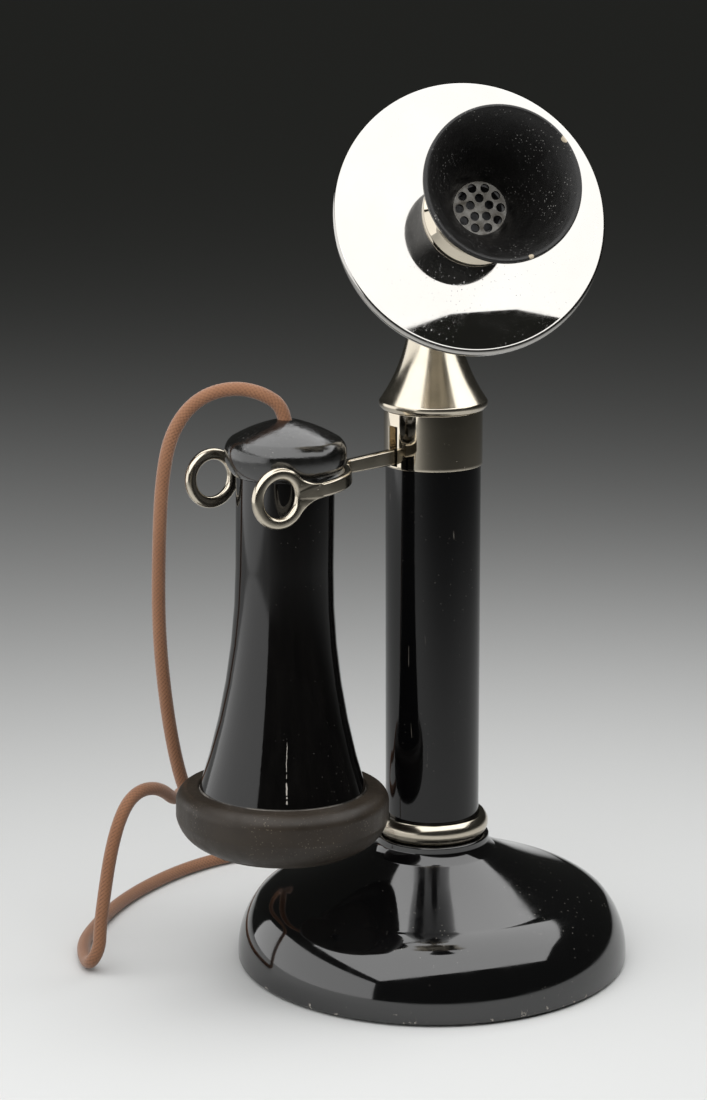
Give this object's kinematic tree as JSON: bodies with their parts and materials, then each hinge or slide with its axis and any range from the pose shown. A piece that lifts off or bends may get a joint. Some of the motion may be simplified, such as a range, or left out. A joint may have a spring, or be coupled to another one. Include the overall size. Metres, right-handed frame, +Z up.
{
  "type": "telephone",
  "caption": "Antique candlestick telephone: round base, nickel column, switch hook with a hanging receiver, tilting transmitter with a bell mouthpiece, braided cord.",
  "frame": {"origin": "centre of the base's underside, where the felt rests on the table", "axes": "+Z up along the column, -X from the column to the hung receiver, -Y the side the transmitter faces when its head isn't swivelled, +X away from the receiver"},
  "size_m": [0.1751, 0.2158, 0.2992],
  "materials": {
    "black_enamel": "gloss black enamel, slightly worn",
    "nickel": "warm polished nickel plate",
    "gloss_hard_rubber": "polished black hard rubber",
    "satin_hard_rubber": "faded satin brown-black hard rubber",
    "mouthpiece_black": "dusty matte black composition",
    "grille_steel": "dull grey perforated steel",
    "brass": "dull brass",
    "bronze": "spring bronze",
    "iron": "dark lacquered iron",
    "spring_steel": "plain steel",
    "insulator": "dark brown fibre",
    "winding": "green silk-covered wire",
    "felt": "dark green felt",
    "cord": "brown braided cotton"
  },
  "bodies": {
    "stand": {"base_shell": "black_enamel", "base_felt": "felt", "base_plate": "spring_steel", "base_plate_screws": "spring_steel", "receiver_cord_bushing": "gloss_hard_rubber", "line_cord_bushing": "gloss_hard_rubber", "terminal_block": "insulator", "terminal_screws": "brass", "column_tube": "black_enamel", "column_stem": "brass", "column_nut": "brass", "column_ring": "nickel", "hook_collar": "nickel", "switch_frame": "brass", "hook_pivot_pin": "spring_steel", "contact_springs": "bronze", "spring_insulators": "insulator", "spring_clamp_screws": "brass"},
    "hook": {"hook_fork": "nickel", "left_eye": "nickel", "right_eye": "nickel", "lever_stud": "gloss_hard_rubber"},
    "head": {"head_cone": "nickel", "tilt_screw": "nickel", "tilt_nut": "nickel"},
    "transmitter": {"face_plate": "nickel", "back_cup": "nickel", "cup_screws": "nickel", "transmitter_lug": "nickel", "lug_screws": "nickel", "mouthpiece_ferrule": "nickel", "mouthpiece": "mouthpiece_black", "mouthpiece_grille": "grille_steel", "button_bridge": "brass", "carbon_button": "brass", "transmitter_diaphragm": "iron", "diaphragm_gasket": "gloss_hard_rubber", "damping_springs": "spring_steel"},
    "receiver": {"receiver_shell": "gloss_hard_rubber", "receiver_cap": "gloss_hard_rubber", "ear_cap": "satin_hard_rubber", "receiver_diaphragm": "iron", "receiver_magnet": "iron", "pole_pieces": "spring_steel", "receiver_coils": "winding", "coil_plate": "brass", "receiver_terminals": "brass", "receiver_cord": "cord"}
  },
  "joints": [
    {"name": "receiver_lift_off", "type": "slide", "parent": "stand", "child": "receiver", "axis": [-0.8, 0, 0.6], "range_m": [0, 0.1]},
    {"name": "hook_lift", "type": "hinge", "parent": "stand", "child": "hook", "pos_m": [0.004, 0, 0.17785], "axis": [0, 1, 0], "range_deg": [0, 12]},
    {"name": "head_swivel", "type": "hinge", "parent": "stand", "child": "head", "pos_m": [0, 0, 0.191], "axis": [0, 0, 1], "range_deg": [-22, 68]},
    {"name": "transmitter_tilt", "type": "hinge", "parent": "head", "child": "transmitter", "pos_m": [0, 0, 0.228], "axis": [0.9212, -0.3891, 0], "range_deg": [-15, 20]}
  ],
  "couplings": [
    {"joint": "hook_lift", "follows": "receiver_lift_off", "rad_per_m": 2.0944}
  ]
}
